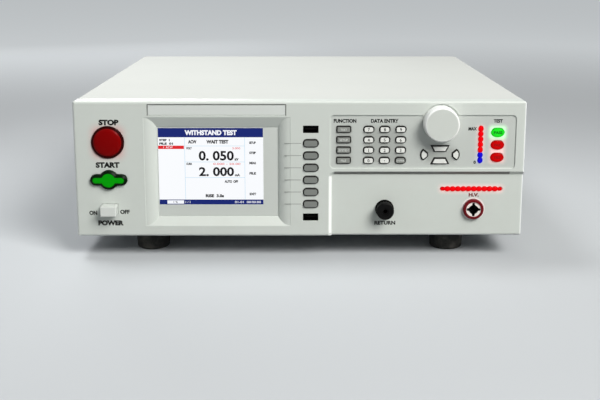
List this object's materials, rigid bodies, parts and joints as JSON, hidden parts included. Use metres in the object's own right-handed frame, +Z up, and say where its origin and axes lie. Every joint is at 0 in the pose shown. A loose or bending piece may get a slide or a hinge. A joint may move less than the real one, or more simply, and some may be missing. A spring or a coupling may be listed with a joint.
{
  "type": "hipot tester",
  "caption": "Bench hipot tester: sheet-metal cabinet with a moulded control bezel, colour display, keys, knob, lamps and high-voltage terminals, on rubber feet.",
  "frame": {"origin": "middle of the instrument's outline on the surface that it stands on", "axes": "+X to the right seen from the front, -Y out of the front face, +Z up"},
  "size_m": [0.4336, 0.443, 0.154],
  "materials": {
    "bezel_plastic": "fine moulded texture",
    "cover_paint": "smooth powder coat",
    "plated_steel": "zinc plated",
    "foot_rubber": "matt",
    "board_green": "solder resist",
    "mask_plastic": "smooth",
    "screen_face": "lit display behind clear glass",
    "knob_plastic": "satin",
    "stop_red": "satin gloss",
    "start_green": "satin gloss",
    "power_white": "satin",
    "key_grey": "silicone",
    "key_white": "silicone",
    "led_red": "lit lens",
    "led_blue": "lit lens",
    "lamp_green": "lit lens",
    "lamp_red": "lit lens",
    "socket_black": "satin",
    "terminal_black": "satin",
    "hv_maroon": "satin",
    "insulator_white": "smooth",
    "stud_brass": "bare",
    "core_iron": "varnished laminations",
    "winding_copper": "enamelled wire",
    "sink_aluminium": "extruded"
  },
  "bodies": {
    "cabinet": {"front_bezel": "bezel_plastic", "chassis_tray": "plated_steel", "top_cover": "cover_paint", "rear_panel": "cover_paint", "feet": "foot_rubber", "case_screws": "plated_steel", "panel_switches": "board_green", "lcd_frame": "mask_plastic", "lcd_screen": "screen_face", "key_board": "board_green", "encoder": "plated_steel", "red_leds": "led_red", "blue_leds": "led_blue", "pass_lamp": "lamp_green", "fail_lamps": "lamp_red", "usb_ports": "socket_black", "return_post": "terminal_black", "hv_socket": "hv_maroon", "hv_insulator": "insulator_white", "fan_frame": "socket_black", "power_inlet": "socket_black", "remote_port": "plated_steel", "earth_post": "stud_brass", "transformer_core": "core_iron", "transformer_winding": "winding_copper", "main_board": "board_green", "amplifier_heatsink": "sink_aluminium"},
    "stop_button": {"stop_button": "stop_red"},
    "start_button": {"start_button": "start_green"},
    "power_button": {"power_button": "power_white"},
    "knob": {"knob": "knob_plastic"},
    "fan_rotor": {"fan_rotor": "socket_black"},
    "return_washer": {"return_washer": "plated_steel"},
    "return_cap": {"return_cap": "terminal_black"},
    "softkey_1": {"softkey_1": "key_grey"},
    "softkey_2": {"softkey_2": "key_grey"},
    "softkey_3": {"softkey_3": "key_grey"},
    "softkey_4": {"softkey_4": "key_grey"},
    "softkey_5": {"softkey_5": "key_grey"},
    "softkey_6": {"softkey_6": "key_grey"},
    "function_key_1": {"function_key_1": "key_grey"},
    "function_key_2": {"function_key_2": "key_grey"},
    "function_key_3": {"function_key_3": "key_grey"},
    "function_key_4": {"function_key_4": "key_grey"},
    "digit_key_0": {"digit_key_0": "key_white"},
    "digit_key_1": {"digit_key_1": "key_white"},
    "digit_key_2": {"digit_key_2": "key_white"},
    "digit_key_3": {"digit_key_3": "key_white"},
    "digit_key_4": {"digit_key_4": "key_white"},
    "digit_key_5": {"digit_key_5": "key_white"},
    "digit_key_6": {"digit_key_6": "key_white"},
    "digit_key_7": {"digit_key_7": "key_white"},
    "digit_key_8": {"digit_key_8": "key_white"},
    "digit_key_9": {"digit_key_9": "key_white"},
    "point_key": {"point_key": "key_white"},
    "enter_key": {"enter_key": "key_grey"},
    "arrow_up": {"arrow_up": "key_white"},
    "arrow_down": {"arrow_down": "key_white"},
    "arrow_left": {"arrow_left": "key_white"},
    "arrow_right": {"arrow_right": "key_white"}
  },
  "joints": [
    {"name": "knob_turn", "type": "hinge", "parent": "cabinet", "child": "knob", "pos_m": [0.13382, -0.2095, 0.133], "axis": [0, -1, 0], "continuous": true},
    {"name": "fan_spin", "type": "hinge", "parent": "cabinet", "child": "fan_rotor", "pos_m": [-0.11997, 0.1935, 0.09], "axis": [0, 1, 0], "continuous": true},
    {"name": "washer_slide", "type": "slide", "parent": "cabinet", "child": "return_washer", "axis": [0, -1, 0], "range_m": [0, 0.0028]},
    {"name": "cap_turn", "type": "hinge", "parent": "return_washer", "child": "return_cap", "pos_m": [0.082, -0.2095, 0.0486], "axis": [0, -1, 0], "range_deg": [0, 1030]},
    {"name": "stop_press", "type": "slide", "parent": "cabinet", "child": "stop_button", "axis": [0, 1, 0], "range_m": [0, 0.0018], "stiffness_N_per_m": 400, "springref_m": -0.0015},
    {"name": "start_press", "type": "slide", "parent": "cabinet", "child": "start_button", "axis": [0, 1, 0], "range_m": [0, 0.0018], "stiffness_N_per_m": 400, "springref_m": -0.0015},
    {"name": "power_push", "type": "slide", "parent": "cabinet", "child": "power_button", "axis": [0, 1, 0], "range_m": [-0.003, 0.001]},
    {"name": "softkey_1_press", "type": "slide", "parent": "cabinet", "child": "softkey_1", "axis": [0, 1, 0], "range_m": [0, 0.001], "stiffness_N_per_m": 300, "springref_m": -0.001},
    {"name": "softkey_2_press", "type": "slide", "parent": "cabinet", "child": "softkey_2", "axis": [0, 1, 0], "range_m": [0, 0.001], "stiffness_N_per_m": 300, "springref_m": -0.001},
    {"name": "softkey_3_press", "type": "slide", "parent": "cabinet", "child": "softkey_3", "axis": [0, 1, 0], "range_m": [0, 0.001], "stiffness_N_per_m": 300, "springref_m": -0.001},
    {"name": "softkey_4_press", "type": "slide", "parent": "cabinet", "child": "softkey_4", "axis": [0, 1, 0], "range_m": [0, 0.001], "stiffness_N_per_m": 300, "springref_m": -0.001},
    {"name": "softkey_5_press", "type": "slide", "parent": "cabinet", "child": "softkey_5", "axis": [0, 1, 0], "range_m": [0, 0.001], "stiffness_N_per_m": 300, "springref_m": -0.001},
    {"name": "softkey_6_press", "type": "slide", "parent": "cabinet", "child": "softkey_6", "axis": [0, 1, 0], "range_m": [0, 0.001], "stiffness_N_per_m": 300, "springref_m": -0.001},
    {"name": "function_key_1_press", "type": "slide", "parent": "cabinet", "child": "function_key_1", "axis": [0, 1, 0], "range_m": [0, 0.001], "stiffness_N_per_m": 300, "springref_m": -0.001},
    {"name": "function_key_2_press", "type": "slide", "parent": "cabinet", "child": "function_key_2", "axis": [0, 1, 0], "range_m": [0, 0.001], "stiffness_N_per_m": 300, "springref_m": -0.001},
    {"name": "function_key_3_press", "type": "slide", "parent": "cabinet", "child": "function_key_3", "axis": [0, 1, 0], "range_m": [0, 0.001], "stiffness_N_per_m": 300, "springref_m": -0.001},
    {"name": "function_key_4_press", "type": "slide", "parent": "cabinet", "child": "function_key_4", "axis": [0, 1, 0], "range_m": [0, 0.001], "stiffness_N_per_m": 300, "springref_m": -0.001},
    {"name": "digit_key_0_press", "type": "slide", "parent": "cabinet", "child": "digit_key_0", "axis": [0, 1, 0], "range_m": [0, 0.001], "stiffness_N_per_m": 300, "springref_m": -0.001},
    {"name": "digit_key_1_press", "type": "slide", "parent": "cabinet", "child": "digit_key_1", "axis": [0, 1, 0], "range_m": [0, 0.001], "stiffness_N_per_m": 300, "springref_m": -0.001},
    {"name": "digit_key_2_press", "type": "slide", "parent": "cabinet", "child": "digit_key_2", "axis": [0, 1, 0], "range_m": [0, 0.001], "stiffness_N_per_m": 300, "springref_m": -0.001},
    {"name": "digit_key_3_press", "type": "slide", "parent": "cabinet", "child": "digit_key_3", "axis": [0, 1, 0], "range_m": [0, 0.001], "stiffness_N_per_m": 300, "springref_m": -0.001},
    {"name": "digit_key_4_press", "type": "slide", "parent": "cabinet", "child": "digit_key_4", "axis": [0, 1, 0], "range_m": [0, 0.001], "stiffness_N_per_m": 300, "springref_m": -0.001},
    {"name": "digit_key_5_press", "type": "slide", "parent": "cabinet", "child": "digit_key_5", "axis": [0, 1, 0], "range_m": [0, 0.001], "stiffness_N_per_m": 300, "springref_m": -0.001},
    {"name": "digit_key_6_press", "type": "slide", "parent": "cabinet", "child": "digit_key_6", "axis": [0, 1, 0], "range_m": [0, 0.001], "stiffness_N_per_m": 300, "springref_m": -0.001},
    {"name": "digit_key_7_press", "type": "slide", "parent": "cabinet", "child": "digit_key_7", "axis": [0, 1, 0], "range_m": [0, 0.001], "stiffness_N_per_m": 300, "springref_m": -0.001},
    {"name": "digit_key_8_press", "type": "slide", "parent": "cabinet", "child": "digit_key_8", "axis": [0, 1, 0], "range_m": [0, 0.001], "stiffness_N_per_m": 300, "springref_m": -0.001},
    {"name": "digit_key_9_press", "type": "slide", "parent": "cabinet", "child": "digit_key_9", "axis": [0, 1, 0], "range_m": [0, 0.001], "stiffness_N_per_m": 300, "springref_m": -0.001},
    {"name": "point_key_press", "type": "slide", "parent": "cabinet", "child": "point_key", "axis": [0, 1, 0], "range_m": [0, 0.001], "stiffness_N_per_m": 300, "springref_m": -0.001},
    {"name": "enter_key_press", "type": "slide", "parent": "cabinet", "child": "enter_key", "axis": [0, 1, 0], "range_m": [0, 0.001], "stiffness_N_per_m": 300, "springref_m": -0.001},
    {"name": "arrow_up_press", "type": "slide", "parent": "cabinet", "child": "arrow_up", "axis": [0, 1, 0], "range_m": [0, 0.001], "stiffness_N_per_m": 300, "springref_m": -0.001},
    {"name": "arrow_down_press", "type": "slide", "parent": "cabinet", "child": "arrow_down", "axis": [0, 1, 0], "range_m": [0, 0.001], "stiffness_N_per_m": 300, "springref_m": -0.001},
    {"name": "arrow_left_press", "type": "slide", "parent": "cabinet", "child": "arrow_left", "axis": [0, 1, 0], "range_m": [0, 0.001], "stiffness_N_per_m": 300, "springref_m": -0.001},
    {"name": "arrow_right_press", "type": "slide", "parent": "cabinet", "child": "arrow_right", "axis": [0, 1, 0], "range_m": [0, 0.001], "stiffness_N_per_m": 300, "springref_m": -0.001}
  ],
  "couplings": [
    {"joint": "cap_turn", "follows": "washer_slide", "rad_per_m": 6283.2}
  ]
}
